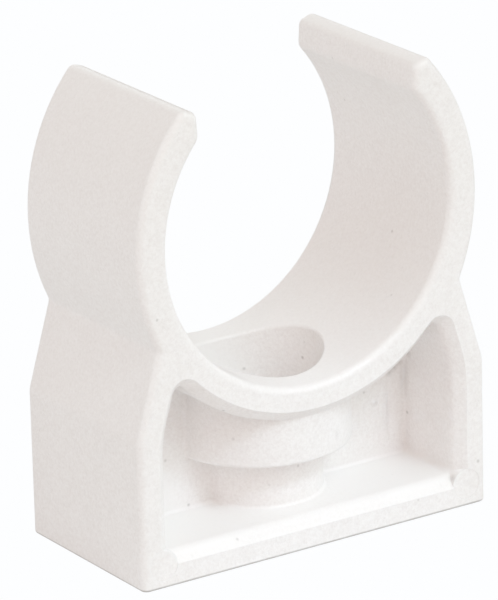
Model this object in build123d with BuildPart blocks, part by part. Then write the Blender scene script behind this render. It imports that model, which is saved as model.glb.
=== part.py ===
from build123d import *
from math import atan2, cos, hypot, radians, sin, tan
import os

# Snap-in pipe clip, moulded in one piece. Millimetres and degrees, +Z up.
# X runs across the pipe, Y along it, and the origin is the centre of the base's underside.

# Pipe seat: the bore's lowest line stands at seat_height, the mouth's angle is seen from its axis
bore_diameter = 22.0
seat_height = 11.35
mouth_angle = 97.5

# Arms: walls are measured from the bore outwards, the waist's angle below the pipe axis
arm_wall = 2.2
waist_wall = 2.4
waist_angle = 28.0
lead_in_height = 1.75
lead_in_flare = 0.12
tip_width = 1.08
tip_rise = 0.39

# Base: a box open at the front and the back, with a web across the middle of its length
base_width = 27.2
side_height = 10.2
side_wall = 2.25
floor_wall = 2.25
ring_wall = 2.4
web_wall = 1.4

# Screw seat: a stem round the hole and a wider boss round the recess for the screw's head
screw_hole_diameter = 4.5
stem_wall = 2.0
recess_diameter = 8.9
recess_depth = 4.0
boss_wall = 1.75
boss_floor = 1.6
boss_setback = 0.65

# Marks of the pins that push the clip out of its mould, on the front face only
pin_diameter = 2.1
pin_margin = 0.05
pin_height = 1.6
pin_pad_depth = 1.2
pin_mark_depth = 0.05

# Corners of the front outline
shoulder_radius = 1.5
waist_radius = 0.5
throat_radius = 0.8
pocket_floor_radius = 0.4
pocket_apex_radius = 0.5
pocket_shoulder_radius = 8.0

# Rounded and bevelled edges: a corner is rounder by corner_spare than the edge that runs round it
edge_radius = 0.5
base_edge_radius = 0.25
pocket_bevel = 0.75
pocket_flare_radius = 0.8
root_radius = 0.2
boss_rim_radius = 0.25
recess_edge_radius = 0.2
corner_spare = 0.06

# Sizes that follow from those above
bore_radius = bore_diameter / 2
axis_height = seat_height + bore_radius
ring_radius = bore_radius + ring_wall
tip_radius = edge_radius + corner_spare
corner_root_radius = root_radius + corner_spare
stem_radius = screw_hole_diameter / 2 + stem_wall
recess_floor_height = seat_height - recess_depth
boss_radius = recess_diameter / 2 + boss_wall
boss_height = recess_floor_height - boss_floor
clip_length = 2 * (boss_radius + boss_setback)
front = clip_length / 2
pocket_depth = (clip_length - web_wall) / 2
pin_x = base_width / 2 - edge_radius - pin_margin - pin_diameter / 2
tolerance = 0.001

# Points of the right half of the front outline, as (x, z)
shoulder = (base_width / 2, side_height)
waist = (
    (bore_radius + waist_wall) * cos(radians(waist_angle)),
    axis_height - (bore_radius + waist_wall) * sin(radians(waist_angle)),
)
arm_side = (bore_radius + arm_wall, axis_height)
throat = (
    bore_radius * sin(radians(mouth_angle / 2)),
    axis_height + bore_radius * cos(radians(mouth_angle / 2)),
)
bore_side = (bore_radius, axis_height)
bore_bottom = (0, seat_height)
lead_in_top = (throat[0] + lead_in_flare, throat[1] + lead_in_height)
tip = (lead_in_top[0] + tip_width, lead_in_top[1] + tip_rise)

# Points of the right half of the pocket, whose side keeps one wall's distance from the outline
lean = atan2(shoulder[0] - waist[0], waist[1] - shoulder[1])
pocket_corner = (base_width / 2 - side_wall, floor_wall)
pocket_shoulder = (pocket_corner[0], side_height - side_wall * tan(lean / 2))
pocket_waist = (waist[0] - side_wall / cos(lean), waist[1])


def at_point(point):
    """Tells whether a sketch's vertex is the given point or its mirror image."""
    return lambda vertex: hypot(abs(vertex.X) - point[0], vertex.Y - point[1]) < tolerance


def at_radius(radius):
    """Tells whether a sketch's vertex lies on the circle of this radius about the origin."""
    return lambda vertex: abs(hypot(vertex.X, vertex.Y) - radius) < tolerance


def at_size(radius):
    """Tells whether a cylindrical face has this radius."""
    return lambda face: abs(face.radius - radius) < tolerance


def along_web_foot(edge):
    """Tells whether an edge lies where the web stands on the floor."""
    middle = edge.center()
    return hypot(abs(middle.Y) - web_wall / 2, middle.Z - floor_wall) < tolerance


def along_bevel_foot(edge):
    """Tells whether an edge lies where a mouth's bevel ends inside its pocket."""
    box = edge.bounding_box()
    return max(abs(abs(y) - (front - pocket_bevel)) for y in (box.min.Y, box.max.Y)) < tolerance


# Boss and stem, joined to a stretch of the web by rounded roots and hollowed to meet the ring
with BuildPart() as screw_boss:
    with BuildSketch(Plane.XY.offset(boss_height)) as boss_plan:
        Circle(boss_radius)
        Rectangle(2 * (boss_radius + 2 * corner_root_radius), web_wall)
        fillet(boss_plan.vertices().filter_by(at_radius(boss_radius)), corner_root_radius)
    extrude(amount=axis_height - boss_height)
    fillet(screw_boss.faces().sort_by(Axis.Z)[0].edges().filter_by(GeomType.CIRCLE), boss_rim_radius)
    with BuildSketch(Plane.XY.offset(floor_wall / 2)) as stem_plan:
        Circle(stem_radius)
        Rectangle(2 * (stem_radius + 2 * corner_root_radius), web_wall)
        fillet(stem_plan.vertices().filter_by(at_radius(stem_radius)), corner_root_radius)
    extrude(amount=boss_height - floor_wall / 2)
    with BuildSketch(Plane.XZ):
        with Locations((0, axis_height)):
            Circle(bore_radius + ring_wall / 2)
    extrude(amount=clip_length, both=True, mode=Mode.SUBTRACT)

with BuildPart() as pipe_clip:
    # Body: the front outline with the open bore, drawn as one half and mirrored
    with BuildSketch(Plane.XZ) as outline:
        with BuildLine():
            Polyline((0, 0), (base_width / 2, 0), shoulder, waist)
            ThreePointArc(waist, arm_side, tip)
            Polyline(tip, lead_in_top, throat)
            ThreePointArc(throat, bore_side, bore_bottom)
            Line(bore_bottom, (0, 0))
        make_face()
        mirror(about=Plane.YZ)
        fillet(outline.vertices().filter_by(at_point(shoulder)), shoulder_radius)
        fillet(outline.vertices().filter_by(at_point(waist)), waist_radius)
        fillet(outline.vertices().filter_by(at_point(throat)), throat_radius)
        fillet(outline.vertices().filter_by(at_point(lead_in_top)), tip_radius)
        fillet(outline.vertices().filter_by(at_point(tip)), tip_radius)
    extrude(amount=front, both=True)

    # Pockets from the front and the back, which leave the web between them
    for side in (1, -1):
        with BuildSketch(Plane.XZ.offset(side * web_wall / 2)) as pocket:
            with BuildLine():
                Polyline(
                    (0, floor_wall),
                    pocket_corner,
                    pocket_shoulder,
                    pocket_waist,
                    (0, pocket_waist[1]),
                    close=True,
                )
            make_face()
            mirror(about=Plane.YZ)
            with Locations((0, axis_height)):
                Circle(ring_radius, mode=Mode.SUBTRACT)
            fillet(pocket.vertices().group_by(Axis.Y)[-1], pocket_apex_radius)
            fillet(pocket.vertices().filter_by(at_point(pocket_shoulder)), pocket_shoulder_radius)
            fillet(pocket.vertices().filter_by(at_point(pocket_corner)), pocket_floor_radius)
        extrude(amount=side * pocket_depth, mode=Mode.SUBTRACT)

    # Flared mouths: a bevel that leaves a crease on the face and blends into the pocket's walls
    for end in (0, -1):
        mouth = pipe_clip.faces().filter_by(Axis.Y).sort_by(Axis.Y)[end].inner_wires()
        chamfer(mouth.edges(), pocket_bevel)
    bevel_foot = pipe_clip.edges().filter_by(along_bevel_foot)
    fillet(bevel_foot, pocket_flare_radius)

    add(screw_boss.part)

    # Rounded roots: each runs round the whole bottom of a pocket from the web's foot
    web_foot = pipe_clip.edges().filter_by(Axis.X).filter_by(along_web_foot)
    fillet(web_foot, root_radius)

    # Screw hole, and the recess that lets its head down below the bore
    with Locations((0, 0, axis_height)):
        CounterBoreHole(
            radius=screw_hole_diameter / 2,
            counter_bore_radius=recess_diameter / 2,
            counter_bore_depth=axis_height - recess_floor_height,
            depth=axis_height,
        )
    recess = pipe_clip.faces().filter_by(GeomType.CYLINDER).filter_by(at_size(recess_diameter / 2))
    fillet(recess.edges().filter_by(GeomType.BSPLINE), recess_edge_radius)

    # Rounded outline at both ends, and the rounded underside
    for end in (0, -1):
        rim = pipe_clip.faces().filter_by(Axis.Y).sort_by(Axis.Y)[end].outer_wire()
        fillet(rim.edges().filter_by_position(Axis.Z, tolerance, tip[1]), edge_radius)
    underside = pipe_clip.faces().sort_by(Axis.Z)[0].outer_wire()
    fillet(underside.edges(), base_edge_radius)

    # Pin marks: round pads that fill the mouth's bevel, their ends a little below the front face
    for depth, mode in ((pin_pad_depth, Mode.ADD), (pin_mark_depth, Mode.SUBTRACT)):
        with BuildSketch(Plane.XZ.offset(front)):
            with Locations((-pin_x, pin_height), (pin_x, pin_height)):
                Circle(pin_diameter / 2)
        extrude(amount=-depth, mode=mode)

pipe_clip.part.label = "pipe_clip"

os.makedirs("parts", exist_ok=True)
export_step(pipe_clip.part, "parts/pipe_clip.step")
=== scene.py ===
"""Dresses a moulded pipe clip and stands it in a pale studio, in metres, in the frame of its solids."""

import logging
import math
import operator
from abc import ABC, abstractmethod
from dataclasses import dataclass
from enum import Enum
from functools import reduce
from typing import Iterable, Mapping, Optional, Union

import bmesh
import bpy
from mathutils import Matrix, Vector

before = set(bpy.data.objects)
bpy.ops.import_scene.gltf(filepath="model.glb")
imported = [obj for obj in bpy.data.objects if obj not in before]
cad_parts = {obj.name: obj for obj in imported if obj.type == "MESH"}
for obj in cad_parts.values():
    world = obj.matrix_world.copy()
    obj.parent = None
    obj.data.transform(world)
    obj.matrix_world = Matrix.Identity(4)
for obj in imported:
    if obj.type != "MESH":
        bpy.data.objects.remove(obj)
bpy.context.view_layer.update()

log = logging.getLogger("pipe_clip")

MM = 0.001

# Where the front of the web stands along Y, in millimetres
WEB_FRONT = -0.7

Colour = tuple[float, float, float]
Place = tuple[float, float, float]
Reach = tuple[float, float, float]


def opaque(colour: Colour) -> tuple[float, float, float, float]:
    """Returns a colour with full alpha."""
    return (*colour, 1.0)


def direction(azimuth: float, elevation: float) -> Vector:
    """Gives the way that a lamp or a camera looks.

    Args:
        azimuth: Degrees from the front towards the left, as seen from the front.
        elevation: Degrees above the floor.

    Returns:
        A unit vector from there to the object.
    """
    turn = math.radians(azimuth)
    rise = math.radians(elevation)
    return Vector((math.sin(turn) * math.cos(rise), math.cos(turn) * math.cos(rise), -math.sin(rise)))


def place_in_scene(name: str, data: bpy.types.ID) -> bpy.types.Object:
    """Adds an object to the scene.

    Args:
        name: The object's name.
        data: Its mesh, lamp or camera.

    Returns:
        The new object, at the origin.
    """
    holder = bpy.data.objects.new(name, data)
    bpy.context.scene.collection.objects.link(holder)
    return holder


class Maths(Enum):
    """Operations of a Math node."""

    ADD = "ADD"
    SUBTRACT = "SUBTRACT"
    MULTIPLY = "MULTIPLY"
    DIVIDE = "DIVIDE"
    LESS = "LESS_THAN"
    GREATER = "GREATER_THAN"


class VectorMaths(Enum):
    """Operations of a Vector Math node."""

    SUBTRACT = "SUBTRACT"
    DIVIDE = "DIVIDE"
    LENGTH = "LENGTH"


class Wire:
    """The output of a shader node, which takes part in Python expressions."""

    def __init__(self, graph: "Graph", socket: bpy.types.NodeSocket) -> None:
        """Wraps an output of one of the graph's nodes."""
        self.graph = graph
        self.socket = socket

    def __add__(self, other: "Value") -> "Wire":
        """Returns this plus other."""
        return self.graph.maths(Maths.ADD, self, other)

    def __radd__(self, other: "Value") -> "Wire":
        """Returns other plus this."""
        return self.graph.maths(Maths.ADD, other, self)

    def __sub__(self, other: "Value") -> "Wire":
        """Returns this less other."""
        return self.graph.maths(Maths.SUBTRACT, self, other)

    def __rsub__(self, other: "Value") -> "Wire":
        """Returns other less this."""
        return self.graph.maths(Maths.SUBTRACT, other, self)

    def __mul__(self, other: "Value") -> "Wire":
        """Returns this times other."""
        return self.graph.maths(Maths.MULTIPLY, self, other)

    def __rmul__(self, other: "Value") -> "Wire":
        """Returns other times this."""
        return self.graph.maths(Maths.MULTIPLY, other, self)

    def __truediv__(self, other: "Value") -> "Wire":
        """Returns this over other."""
        return self.graph.maths(Maths.DIVIDE, self, other)

    def __rtruediv__(self, other: "Value") -> "Wire":
        """Returns other over this."""
        return self.graph.maths(Maths.DIVIDE, other, self)

    def __lt__(self, other: "Value") -> "Wire":
        """Returns 1 where this is less than other, and 0 elsewhere."""
        return self.graph.maths(Maths.LESS, self, other)

    def __gt__(self, other: "Value") -> "Wire":
        """Returns 1 where this is greater than other, and 0 elsewhere."""
        return self.graph.maths(Maths.GREATER, self, other)

    def clamped(self) -> "Wire":
        """Returns this held between 0 and 1."""
        return self.graph.maths(Maths.ADD, self, 0.0, clamp=True)


Value = Union[Wire, float, tuple[float, ...]]


class Graph:
    """A node tree that is written down as expressions."""

    def __init__(self, tree: bpy.types.NodeTree) -> None:
        """Empties the node tree of a material or a world, to fill it anew."""
        self.tree = tree
        tree.nodes.clear()

    def add(
        self,
        kind: str,
        settings: Optional[Mapping[str, object]] = None,
        inputs: Optional[Mapping[str, Value]] = None,
    ) -> bpy.types.Node:
        """Adds a node.

        Args:
            kind: The node's type, as Blender names it.
            settings: Properties of the node, which are set first because some of them change its sockets.
            inputs: Values and wires, by the name or the identifier of the input that they go to.

        Returns:
            The new node.
        """
        node = self.tree.nodes.new(kind)
        for name, value in (settings or {}).items():
            setattr(node, name, value)
        for name, value in (inputs or {}).items():
            socket = self.find(node.inputs, name)
            if isinstance(value, Wire):
                self.tree.links.new(value.socket, socket)
            else:
                socket.default_value = value
        return node

    def wire(self, node: bpy.types.Node, name: str) -> Wire:
        """Returns a node's output of that name or identifier, ready for expressions."""
        return Wire(self, self.find(node.outputs, name))

    @staticmethod
    def find(sockets: bpy.types.bpy_prop_collection, name: str) -> bpy.types.NodeSocket:
        """Returns the socket with that identifier, or else the first with that name."""
        identified = {socket.identifier: socket for socket in sockets}
        return identified[name] if name in identified else sockets[name]

    def maths(self, operation: Maths, first: Value, second: Value, clamp: bool = False) -> Wire:
        """Joins two numbers by one operation.

        Args:
            operation: What is done with them.
            first: The first number.
            second: The second number.
            clamp: Whether the result is held between 0 and 1.

        Returns:
            The result.
        """
        settings = {"operation": operation.value, "use_clamp": clamp}
        node = self.add("ShaderNodeMath", settings, {"Value": first, "Value_001": second})
        return self.wire(node, "Value")

    def vector_maths(self, operation: VectorMaths, *vectors: Value) -> Wire:
        """Works one operation on vectors.

        Args:
            operation: What is done with them.
            vectors: One vector for a length, and two otherwise.

        Returns:
            A number for a length, and a vector otherwise.
        """
        inputs = dict(zip(("Vector", "Vector_001"), vectors))
        node = self.add("ShaderNodeVectorMath", {"operation": operation.value}, inputs)
        return self.wire(node, "Value" if operation is VectorMaths.LENGTH else "Vector")

    def blend(self, factor: Value, first: Value, second: Value) -> Wire:
        """Mixes two colours.

        Args:
            factor: 0 for the first colour, 1 for the second.
            first: The first colour.
            second: The second colour.

        Returns:
            The mixed colour.
        """
        inputs = {"Factor_Float": factor, "A_Color": first, "B_Color": second}
        node = self.add("ShaderNodeMix", {"data_type": "RGBA"}, inputs)
        return self.wire(node, "Result_Color")

    def surface_place(self) -> Wire:
        """Returns the place on the object, in its own frame, in metres."""
        return self.wire(self.add("ShaderNodeTexCoord"), "Object")

    def surface_normal(self) -> Wire:
        """Returns the way that the surface faces, in the object's frame."""
        return self.wire(self.add("ShaderNodeTexCoord"), "Normal")

    def upright(self, vector: Wire) -> Wire:
        """Returns a vector's Z."""
        return self.wire(self.add("ShaderNodeSeparateXYZ", inputs={"Vector": vector}), "Z")

    def spot(self, place: Wire, centre: Place, reach: Reach) -> Wire:
        """Makes a single soft spot.

        Args:
            place: The place on the surface.
            centre: The spot's middle, in metres.
            reach: How far it goes along X, Y and Z, in metres.

        Returns:
            1 in the middle, falling to 0 at its rim.
        """
        offset = self.vector_maths(VectorMaths.SUBTRACT, place, centre)
        share = self.vector_maths(VectorMaths.DIVIDE, offset, reach)
        return (1.0 - self.vector_maths(VectorMaths.LENGTH, share)).clamped()

    def shelter(self, width: float, inside: bool = False, samples: int = 8) -> Wire:
        """Tells how much of the surroundings is walled in.

        Args:
            width: How far the surroundings reach, in metres.
            inside: Whether to look into the solid, which finds its edges, in place of out of it.
            samples: How many ways to look at once.

        Returns:
            0 in the open, and about 1 deep in a crease, or at a sharp edge where inside is set.
        """
        settings = {"samples": samples, "inside": inside, "only_local": True}
        node = self.add("ShaderNodeAmbientOcclusion", settings, {"Distance": width})
        return 1.0 - self.wire(node, "AO")


@dataclass(frozen=True)
class Clouds:
    """Cloudy noise: how wide its clouds are, how many finer octaves it has and how much these count."""

    size: float
    octaves: float = 3.0
    fineness: float = 0.55

    def over(self, graph: Graph, place: Wire) -> Wire:
        """Spreads the noise over a surface.

        Args:
            graph: The graph of the surface's material.
            place: The place on the surface.

        Returns:
            The noise, about from 0 to 1.
        """
        inputs = {
            "Vector": place,
            "Scale": 1.0 / self.size,
            "Detail": self.octaves,
            "Roughness": self.fineness,
        }
        return graph.wire(graph.add("ShaderNodeTexNoise", {"normalize": True}, inputs), "Fac")


@dataclass(frozen=True)
class Specks:
    """Small round spots, scattered at random: a share of the places about spacing apart holds one."""

    spacing: float
    radius: float
    share: float

    def over(self, graph: Graph, place: Wire) -> Wire:
        """Scatters the specks over a surface.

        Args:
            graph: The graph of the surface's material.
            place: The place on the surface.

        Returns:
            1 in the middle of a speck, falling to 0 at its rim.
        """
        inputs = {"Vector": place, "Scale": 1.0 / self.spacing, "Randomness": 1.0}
        cells = graph.add("ShaderNodeTexVoronoi", {"feature": "F1"}, inputs)
        draws = graph.add("ShaderNodeSeparateColor", inputs={"Color": graph.wire(cells, "Color")})
        depth = 1.0 - graph.wire(cells, "Distance") * (self.spacing / self.radius)
        return depth.clamped() * (graph.wire(draws, "Red") < self.share)


@dataclass(frozen=True)
class Mark:
    """A soft mark at one place of the clip, with its middle and its reach in millimetres."""

    centre: Place
    reach: Reach
    strength: float

    def over(self, graph: Graph, place: Wire) -> Wire:
        """Returns the mark's strength over a surface, which falls to 0 at the mark's rim."""
        centre, reach = (tuple(value * MM for value in vector) for vector in (self.centre, self.reach))
        return graph.spot(place, centre, reach) * self.strength


def speck(centre: Place, strength: float, radius: float = 0.16) -> Mark:
    """Returns a round mark, with its middle and its radius in millimetres."""
    return Mark(centre, (radius, radius, radius), strength)


def together(marks: Iterable[Mark], graph: Graph, place: Wire) -> Wire:
    """Returns the sum of some marks' strengths over a surface."""
    return reduce(operator.add, (mark.over(graph, place) for mark in marks))


class Finish(ABC):
    """A finish, which makes one material."""

    name: str

    def build(self) -> bpy.types.Material:
        """Makes the material.

        Returns:
            A new material with the finish's name and surface.
        """
        material = bpy.data.materials.new(self.name)
        material.use_nodes = True
        graph = Graph(material.node_tree)
        graph.add("ShaderNodeOutputMaterial", inputs={"Surface": self.surface(graph)})
        return material

    @abstractmethod
    def surface(self, graph: Graph) -> Wire:
        """Adds the finish's nodes to a graph and returns its shader."""


@dataclass(frozen=True)
class PlasticPattern:
    """What varies over the moulded plastic, as wires of its graph."""

    grain: Wire
    mottle: Wire
    clouds: Wire
    pits: Wire
    dust: Wire
    crease: Wire
    edge: Wire
    upward: Wire
    contact_shadow: Wire
    stains_and_painted_shade: Wire
    clean: Wire
    ridges: Wire


@dataclass(frozen=True)
class MouldedPlastic(Finish):
    """Off-white satin plastic as it comes out of the mould, mottled, with painted shade in its creases,
    painted highlights on its edges and a little dust.
    """

    name: str = "moulded_plastic"
    refraction: float = 1.46

    # The plastic's own tone, which mottle, grain and wide clouds vary about the middle of their noise
    colour: Colour = (0.985, 0.955, 0.940)
    mottle_colour: Colour = (0.780, 0.725, 0.700)
    grain: Clouds = Clouds(0.13 * MM, octaves=2.0)
    mottle: Clouds = Clouds(0.24 * MM)
    clouds: Clouds = Clouds(2.4 * MM)
    noise_middle: float = 0.5
    tone_middle: float = 0.25
    tone_by_mottle: float = 1.1
    tone_by_grain: float = 0.9
    tone_by_clouds: float = 0.25
    # Painted light: surfaces that face up keep less of the darker mottle, so tops read lighter
    painted_top_light: float = 0.6

    # Painted shade in the creases and painted highlights on the edges
    painted_crease_shade_colour: Colour = (0.42, 0.35, 0.31)
    crease_width: float = 1.8 * MM
    least_crease_shade: float = 0.2
    crease_shade_by_clouds: float = 0.5
    painted_edge_highlight_colour: Colour = (0.995, 0.985, 0.975)
    edge_width: float = 0.35 * MM
    edge_highlight_strength: float = 3.0

    # Dirt: dust and pits at random; and a painted contact shadow round the foot. The dark colour serves the
    # dirt and the painted shade of the marks below alike
    dirt_and_shade_colour: Colour = (0.30, 0.26, 0.23)
    dust: Specks = Specks(2.0 * MM, radius=0.14 * MM, share=0.2)
    dust_strength: float = 0.6
    pits: Specks = Specks(0.9 * MM, radius=0.16 * MM, share=0.5)
    pit_strength: float = 0.08
    foot_height: float = 0.24 * MM
    foot_fade: float = 0.14 * MM
    least_contact_shadow: float = 0.6
    contact_shadow_by_clouds: float = 0.6

    # Gloss and relief
    roughness: float = 0.36
    roughness_by_mottle: float = 0.24
    roughness_by_dust: float = 0.3
    gloss_by_mottle: float = 2.0
    gloss_by_ridges: float = 0.2
    gloss_roughness: float = 0.10
    relief_depth: float = 0.030 * MM
    relief_by_grain: float = 0.4
    relief_by_pits: float = 0.5

    # Painted shade in the front pocket's right corner and under the ring's edge there, by a pin mark, beside
    # the recess and along the web under the ring; and a smear on the boss
    painted_shade_and_smears: tuple[Mark, ...] = (
        Mark((11.3, -0.8, 7.5), (0.40, 0.50, 1.7), 0.27),
        Mark((2.4, -5.7, 7.0), (0.30, 0.30, 0.50), 0.20),
        Mark((11.3, -1.3, 9.4), (0.30, 0.45, 0.45), 0.35),
        Mark((11.1, -6.5, 2.1), (0.30, 0.40, 0.40), 0.45),
        Mark((-4.8, -4.2, 12.5), (0.90, 3.2, 0.80), 0.22),
        speck((10.15, WEB_FRONT, 8.12), 0.5, radius=0.34),
        speck((10.55, WEB_FRONT, 8.40), 0.5, radius=0.34),
        speck((10.95, WEB_FRONT, 8.66), 0.4, radius=0.34),
    )

    # Single specks in the recess, on the ring, in the front pocket, on its lip, on its wall and on the boss
    dirt_specks: tuple[Mark, ...] = (
        speck((4.3, 1.0, 10.0), 0.8),
        speck((1.7, 4.1, 8.9), 0.6),
        speck((-6.7, -6.15, 10.85), 0.7),
        speck((11.35, -1.0, 5.1), 0.8),
        speck((-6.1, WEB_FRONT, 2.5), 0.7),
        speck((-6.1, -6.45, 1.9), 0.5),
        speck((12.95, -6.85, 3.0), 0.7),
        speck((-7.8, WEB_FRONT, 6.0), 0.5),
        speck((-4.7, -4.1, 7.8), 0.4),
    )

    # Painted light: these places keep less of the darker mottle and read lighter: the left of the recess,
    # the left of the web and the sides of the front floor
    clean: tuple[Mark, ...] = (
        Mark((-2.2, 3.8, 9.0), (5.0, 3.0, 4.0), 1.5),
        Mark((-9.5, WEB_FRONT, 3.5), (4.0, 1.0, 4.0), 1.2),
        Mark((8.5, -3.5, 2.2), (5.0, 5.0, 1.0), 1.5),
        Mark((-8.5, -3.5, 2.2), (5.0, 5.0, 1.0), 1.5),
    )

    # A low ridge and a small round mark on the web, with their heights in relief depths
    ridges: tuple[Mark, ...] = (
        Mark((9.8, WEB_FRONT, 5.4), (0.25, 0.30, 2.2), 5.0),
        speck((8.9, WEB_FRONT, 6.25), 5.0, radius=0.30),
    )

    def pattern(self, graph: Graph) -> PlasticPattern:
        """Lays out what varies over the plastic.

        Args:
            graph: The material's graph.

        Returns:
            The pattern's wires.
        """
        place = graph.surface_place()
        return PlasticPattern(
            grain=self.grain.over(graph, place),
            mottle=self.mottle.over(graph, place),
            clouds=self.clouds.over(graph, place),
            pits=self.pits.over(graph, place),
            dust=self.dust.over(graph, place),
            crease=graph.shelter(self.crease_width),
            edge=graph.shelter(self.edge_width, inside=True),
            upward=graph.upright(graph.surface_normal()).clamped(),
            # Painted contact shadow: darkest at the floor, fading out above the foot height
            contact_shadow=((self.foot_height - graph.upright(place)) / self.foot_fade).clamped(),
            # Painted shade and dirt from the marks, and painted light from the lighter patches
            stains_and_painted_shade=together((*self.painted_shade_and_smears, *self.dirt_specks), graph, place),
            clean=together(self.clean, graph, place),
            ridges=together(self.ridges, graph, place),
        )

    def tint(self, graph: Graph, pattern: PlasticPattern) -> Wire:
        """Colours the plastic, from its own tone to the painted light, painted shade, painted highlights and
        dirt on top of it.

        Args:
            graph: The material's graph.
            pattern: The pattern's wires.

        Returns:
            The colour.
        """
        tone = (
            self.tone_middle
            + (pattern.mottle - self.noise_middle) * self.tone_by_mottle
            + (pattern.grain - self.noise_middle) * self.tone_by_grain
            + (pattern.clouds - self.noise_middle) * self.tone_by_clouds
        ).clamped()
        # Painted light: tops and the listed patches are spared the darker mottle
        painted_lightening = (pattern.upward * self.painted_top_light + pattern.clean).clamped()
        plain = graph.blend(tone * (1.0 - painted_lightening), opaque(self.colour), opaque(self.mottle_colour))
        # Painted shade: sheltered creases that don't face up are darkened
        sheltered = pattern.crease * pattern.crease * (1.0 - pattern.upward)
        crease_shade = (sheltered * (self.least_crease_shade + pattern.clouds * self.crease_shade_by_clouds)).clamped()
        crease_shaded = graph.blend(crease_shade, plain, opaque(self.painted_crease_shade_colour))
        # Painted highlight: edges are lightened
        edge_highlight = (pattern.edge * pattern.mottle * self.edge_highlight_strength).clamped()
        edge_highlighted = graph.blend(edge_highlight, crease_shaded, opaque(self.painted_edge_highlight_colour))
        # Dust and pits, the painted shade of the marks and a painted contact shadow round the foot, in one
        # dark colour
        dirt_and_shade = (
            pattern.dust * self.dust_strength
            + pattern.pits * self.pit_strength
            + pattern.stains_and_painted_shade
            + pattern.contact_shadow * (self.least_contact_shadow + pattern.clouds * self.contact_shadow_by_clouds)
        ).clamped()
        return graph.blend(dirt_and_shade, edge_highlighted, opaque(self.dirt_and_shade_colour))

    def relief(self, graph: Graph, pattern: PlasticPattern) -> Wire:
        """Raises the grain, the mottle and the ridges, and sinks the pits.

        Args:
            graph: The material's graph.
            pattern: The pattern's wires.

        Returns:
            The normal of the uneven surface.
        """
        height = (
            pattern.grain * self.relief_by_grain
            + pattern.mottle
            - pattern.pits * self.relief_by_pits
            + pattern.ridges
        )
        inputs = {"Strength": 1.0, "Distance": self.relief_depth, "Height": height}
        return graph.wire(graph.add("ShaderNodeBump", inputs=inputs), "Normal")

    def surface(self, graph: Graph) -> Wire:
        """Adds the plastic's nodes.

        Args:
            graph: The material's graph.

        Returns:
            A shader whose colour, roughness, gloss and relief vary over the surface.
        """
        pattern = self.pattern(graph)
        roughness = (
            self.roughness
            + (pattern.mottle - self.noise_middle) * self.roughness_by_mottle
            + pattern.dust * self.roughness_by_dust
        )
        glossy = (pattern.edge + pattern.crease * pattern.crease) * pattern.mottle
        gloss = (glossy * self.gloss_by_mottle + pattern.ridges * self.gloss_by_ridges).clamped()
        inputs = {
            "Base Color": self.tint(graph, pattern),
            "Roughness": roughness,
            "IOR": self.refraction,
            "Coat Weight": gloss,
            "Coat Roughness": self.gloss_roughness,
            "Normal": self.relief(graph, pattern),
        }
        return graph.wire(graph.add("ShaderNodeBsdfPrincipled", inputs=inputs), "BSDF")


@dataclass(frozen=True)
class StudioPaper(Finish):
    """Matt white paper under the clip, which throws soft light back up at it."""

    name: str = "studio_paper"
    colour: Colour = (0.75, 0.75, 0.75)
    fibres: Clouds = Clouds(2.0 * MM, octaves=2.0)
    fibres_middle: float = 0.5
    roughness: float = 0.8
    roughness_by_fibres: float = 0.1

    def surface(self, graph: Graph) -> Wire:
        """Adds the paper's nodes.

        Args:
            graph: The material's graph.

        Returns:
            A matt shader without highlights.
        """
        fibres = self.fibres.over(graph, graph.surface_place())
        inputs = {
            "Base Color": opaque(self.colour),
            "Roughness": self.roughness + (fibres - self.fibres_middle) * self.roughness_by_fibres,
            "Specular IOR Level": 0.0,
        }
        return graph.wire(graph.add("ShaderNodeBsdfPrincipled", inputs=inputs), "BSDF")


@dataclass(frozen=True)
class WhiteGround(Finish):
    """The evenly lit pale ground that the clip is seen against."""

    name: str = "white_ground"
    colour: Colour = (0.973, 0.986, 1.0)

    def build(self) -> bpy.types.Material:
        """Makes the material.

        Returns:
            A material that is seen but is no lamp.
        """
        material = super().build()
        material.cycles.emission_sampling = "NONE"
        return material

    def surface(self, graph: Graph) -> Wire:
        """Adds the ground's one node, an even glow, and returns its shader."""
        inputs = {"Color": opaque(self.colour), "Strength": 1.0}
        return graph.wire(graph.add("ShaderNodeEmission", inputs=inputs), "Emission")


@dataclass(frozen=True)
class PipeClip:
    """The clip, one moulding that comes whole from the frame."""

    node: str = "pipe_clip"
    finish: Finish = MouldedPlastic()

    def build(self) -> list[bpy.types.Object]:
        """Finds the clip in the frame and dresses it.

        Returns:
            The clip's object, which stays where the frame has it.
        """
        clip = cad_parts[self.node]
        self.dress(clip)
        return [clip]

    def dress(self, clip: bpy.types.Object) -> None:
        """Gives the clip its finish."""
        clip.data.materials.clear()
        clip.data.materials.append(self.finish.build())


class LampKind(Enum):
    """The kinds of lamp in the studio, as Blender names them."""

    SOFT_BOX = "AREA"
    SPOT = "SPOT"


@dataclass(frozen=True)
class Lamp:
    """A lamp that looks at the clip from one side, with its power in watts and a spot's beam in degrees."""

    name: str
    azimuth: float
    elevation: float
    power: float
    colour: Colour
    width: float
    kind: LampKind = LampKind.SOFT_BOX
    beam: float = 180.0
    distance: float = 0.8
    aim: Place = (0.0, 0.0, 0.012)

    def build(self) -> bpy.types.Object:
        """Hangs the lamp.

        Returns:
            The lamp's object, which the camera doesn't see.
        """
        lamp = bpy.data.lights.new(self.name, self.kind.value)
        lamp.energy = self.power
        lamp.color = self.colour
        if self.kind is LampKind.SPOT:
            lamp.shadow_soft_size = self.width / 2
            lamp.spot_size = math.radians(self.beam)
            lamp.spot_blend = 1.0
        else:
            lamp.shape = "SQUARE"
            lamp.size = self.width
        holder = place_in_scene(self.name, lamp)
        towards = direction(self.azimuth, self.elevation)
        holder.location = Vector(self.aim) - towards * self.distance
        holder.rotation_euler = towards.to_track_quat("-Z", "Y").to_euler()
        holder.visible_camera = False
        return holder


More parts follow.
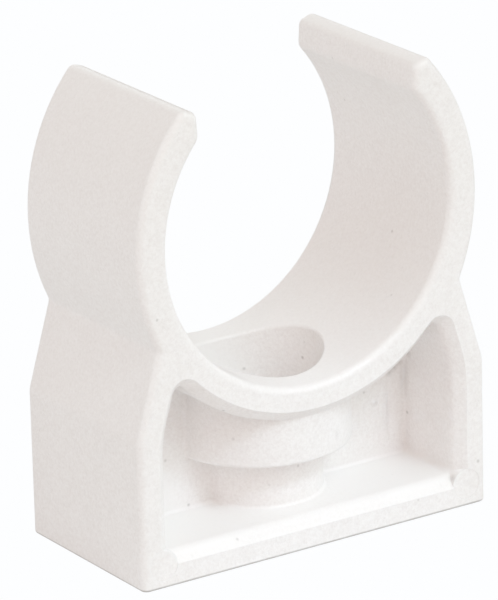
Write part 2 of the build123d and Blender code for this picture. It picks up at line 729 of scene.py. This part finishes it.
@dataclass(frozen=True)
class Viewpoint:
    """The camera, with a long lens from the front and the left. Lens and sensor are in millimetres."""

    name: str = "camera"
    azimuth: float = 33.30
    elevation: float = 19.24
    roll: float = 1.52
    distance: float = 0.3608
    lens: float = 330.0
    sensor: float = 36.0
    nearest: float = 0.01
    aim: Place = (-0.00046, 0.0, 0.01536)

    def build(self) -> bpy.types.Object:
        """Sets the camera up.

        Returns:
            The camera's object.
        """
        camera = bpy.data.cameras.new(self.name)
        camera.lens = self.lens
        camera.sensor_fit = "VERTICAL"
        camera.sensor_height = self.sensor
        camera.clip_start = self.nearest
        holder = place_in_scene(self.name, camera)
        towards = direction(self.azimuth, self.elevation)
        level = towards.to_track_quat("-Z", "Y").to_matrix().to_4x4()
        rolled = level @ Matrix.Rotation(math.radians(-self.roll), 4, "Z")
        holder.matrix_world = Matrix.Translation(Vector(self.aim) - towards * self.distance) @ rolled
        bpy.context.scene.camera = holder
        return holder


@dataclass(frozen=True)
class Studio:
    """The pale ground, the soft light and the camera."""

    width: float = 6.0
    paper_cells: int = 8
    dome_sides: int = 64
    dome_rings: int = 32
    display_gamma: float = 1.6
    paper: Finish = StudioPaper()
    ground: Finish = WhiteGround()
    sky_colour: Colour = (0.275, 0.190, 0.143)
    lamps: tuple[Lamp, ...] = (
        Lamp("key", azimuth=-12.0, elevation=43.0, power=2.46, colour=(0.77, 1.0, 0.99), width=0.5),
        Lamp("front_right", azimuth=-48.0, elevation=36.0, power=2.25, colour=(0.82, 0.92, 1.0), width=0.9),
        Lamp("left", azimuth=103.0, elevation=18.0, power=2.73, colour=(0.79, 0.94, 1.0), width=0.8),
        Lamp("front_left", azimuth=35.0, elevation=25.0, power=0.83, colour=(1.0, 0.66, 0.63), width=0.5),
        Lamp("back", azimuth=195.0, elevation=12.0, power=1.6, colour=(0.85, 0.95, 1.0), width=0.6),
        Lamp(
            "base_spot", azimuth=-5.0, elevation=48.0, power=1.17, colour=(0.66, 0.8, 1.0), width=0.03,
            kind=LampKind.SPOT, beam=6.0, distance=0.25, aim=(0.0, -0.006, 0.001),
        ),
    )
    viewpoint: Viewpoint = Viewpoint()

    def build(self) -> list[bpy.types.Object]:
        """Builds the studio round the clip.

        Returns:
            The pieces of the stage, the lamps and the camera.
        """
        self.build_sky()
        display = bpy.context.scene.view_settings
        display.view_transform = "Standard"
        display.gamma = self.display_gamma
        stage = [self.build_paper(), self.build_ground()]
        return [*stage, *(lamp.build() for lamp in self.lamps), self.viewpoint.build()]

    def build_paper(self) -> bpy.types.Object:
        """Lays the paper that the clip stands on, which shows only by the light that it throws back.

        Returns:
            The paper's object.
        """
        shape = bmesh.new()
        cells = self.paper_cells
        bmesh.ops.create_grid(shape, x_segments=cells, y_segments=cells, size=self.width / 2)
        paper = self.set_up("paper", shape, self.paper.build())
        paper.visible_camera = False
        return paper

    def build_ground(self) -> bpy.types.Object:
        """Puts a flat floor and a dome of the pale ground round the clip, for the camera alone.

        Returns:
            The ground's object.
        """
        shape = bmesh.new()
        bmesh.ops.create_uvsphere(
            shape, u_segments=self.dome_sides, v_segments=self.dome_rings, radius=self.width / 2
        )
        for vertex in shape.verts:
            vertex.co.z = max(vertex.co.z, 0.0)
        ground = self.set_up("ground", shape, self.ground.build())
        ground.visible_diffuse = False
        ground.visible_glossy = False
        ground.visible_transmission = False
        ground.visible_shadow = False
        return ground

    @staticmethod
    def set_up(name: str, shape: bmesh.types.BMesh, material: bpy.types.Material) -> bpy.types.Object:
        """Turns a shape into a piece of the stage.

        Args:
            name: The piece's name.
            shape: Its shape, which is used up.
            material: Its material.

        Returns:
            The new object.
        """
        mesh = bpy.data.meshes.new(name)
        shape.to_mesh(mesh)
        shape.free()
        mesh.materials.append(material)
        piece = place_in_scene(name, mesh)
        return piece

    def build_sky(self) -> None:
        """Lights the room evenly from all round."""
        world = bpy.data.worlds.new("studio_sky")
        world.use_nodes = True
        graph = Graph(world.node_tree)
        inputs = {"Color": opaque(self.sky_colour), "Strength": 1.0}
        sky = graph.wire(graph.add("ShaderNodeBackground", inputs=inputs), "Background")
        graph.add("ShaderNodeOutputWorld", inputs={"Surface": sky})
        bpy.context.scene.world = world


def main() -> None:
    """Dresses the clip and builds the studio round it."""
    logging.basicConfig(level=logging.INFO, format="%(name)s: %(message)s")
    for assembly in (PipeClip(), Studio()):
        for piece in assembly.build():
            log.info("%s in %s", piece.name, type(assembly).__name__)


if __name__ == "__main__":
    main()
